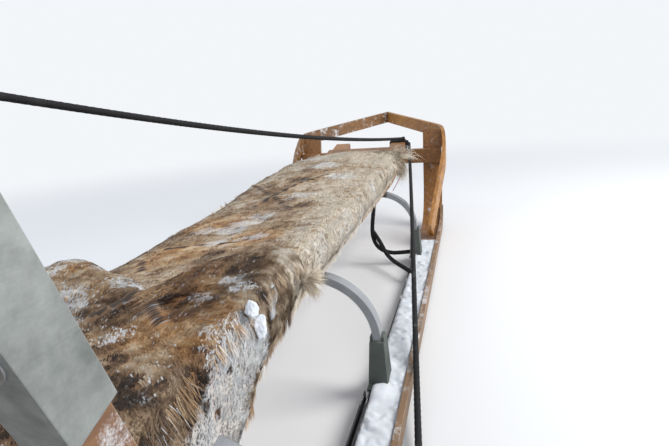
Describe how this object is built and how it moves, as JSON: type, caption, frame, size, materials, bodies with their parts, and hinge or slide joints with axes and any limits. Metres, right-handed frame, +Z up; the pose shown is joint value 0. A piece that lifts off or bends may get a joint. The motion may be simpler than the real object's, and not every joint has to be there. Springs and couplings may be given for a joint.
{
  "type": "dog sled",
  "caption": "Long two-runner dog sled with a pointed wooden bow, a hide-covered bench on metal hoops, stanchions with a handle bow, and a hinged claw brake.",
  "frame": {"origin": "on the ground, under the middle of the sled's overall length and width", "axes": "+X forward to the bow's point, +Y to the sled's left, +Z up"},
  "size_m": [3.66, 0.8238, 1.0776],
  "materials": {
    "wood": "worn varnish",
    "weathered_wood": "weathered, frosted",
    "dark_wood": "worn varnish",
    "sole_plastic": "scratched",
    "black_plastic": "worn",
    "hoop_metal": "dull",
    "channel_metal": "dull galvanised",
    "foot_metal": "dark, dull",
    "brake_metal": "worn",
    "handle_cover": "taped",
    "tread_rubber": "ribbed",
    "pad_rubber": "dull",
    "hide": "hair side up",
    "black_rope": "braided",
    "red_cord": "braided"
  },
  "bodies": {
    "sled": {"runner_board_right": "dark_wood", "runner_board_left": "dark_wood", "runner_tip_right": "dark_wood", "runner_tip_left": "dark_wood", "runner_sole_right": "sole_plastic", "runner_sole_left": "sole_plastic", "runner_strip_right": "wood", "runner_strip_left": "wood", "edge_channel_right": "black_plastic", "edge_channel_left": "black_plastic", "bow_right": "weathered_wood", "bow_left": "weathered_wood", "bench_rail_right": "wood", "bench_rail_left": "wood", "hoop_feet_right": "foot_metal", "hoop_feet_left": "foot_metal", "stanchion_right": "wood", "stanchion_left": "wood", "stay_right": "wood", "stay_left": "wood", "stay_channel_right": "channel_metal", "stay_channel_left": "channel_metal", "footboard_tread_right": "tread_rubber", "footboard_tread_left": "tread_rubber", "nose_beam": "wood", "bench_slats": "wood", "hoop_front": "hoop_metal", "hoop_middle": "hoop_metal", "hoop_rear": "hoop_metal", "hoop_pads": "pad_rubber", "handle_bow": "handle_cover", "bench_crossbar": "wood", "tail_crossbar": "wood", "brake_hangers": "brake_metal", "brake_rod": "brake_metal", "brake_springs": "brake_metal", "hide_front": "hide", "hide_rear": "hide", "nose_lashing": "black_rope", "hand_rope": "black_rope", "hook_line": "black_rope", "snow_hook": "brake_metal", "foot_cord": "black_rope", "runner_cord": "black_rope", "red_cord": "red_cord"},
    "brake": {"brake_frame": "brake_metal", "brake_claws": "brake_metal"}
  },
  "joints": [
    {"name": "brake_hinge", "type": "hinge", "parent": "sled", "child": "brake", "pos_m": [-1.44, 0, 0.096], "axis": [0, -1, 0], "range_deg": [0, 17], "stiffness_Nm_per_rad": 6, "springref_deg": -45.84}
  ]
}
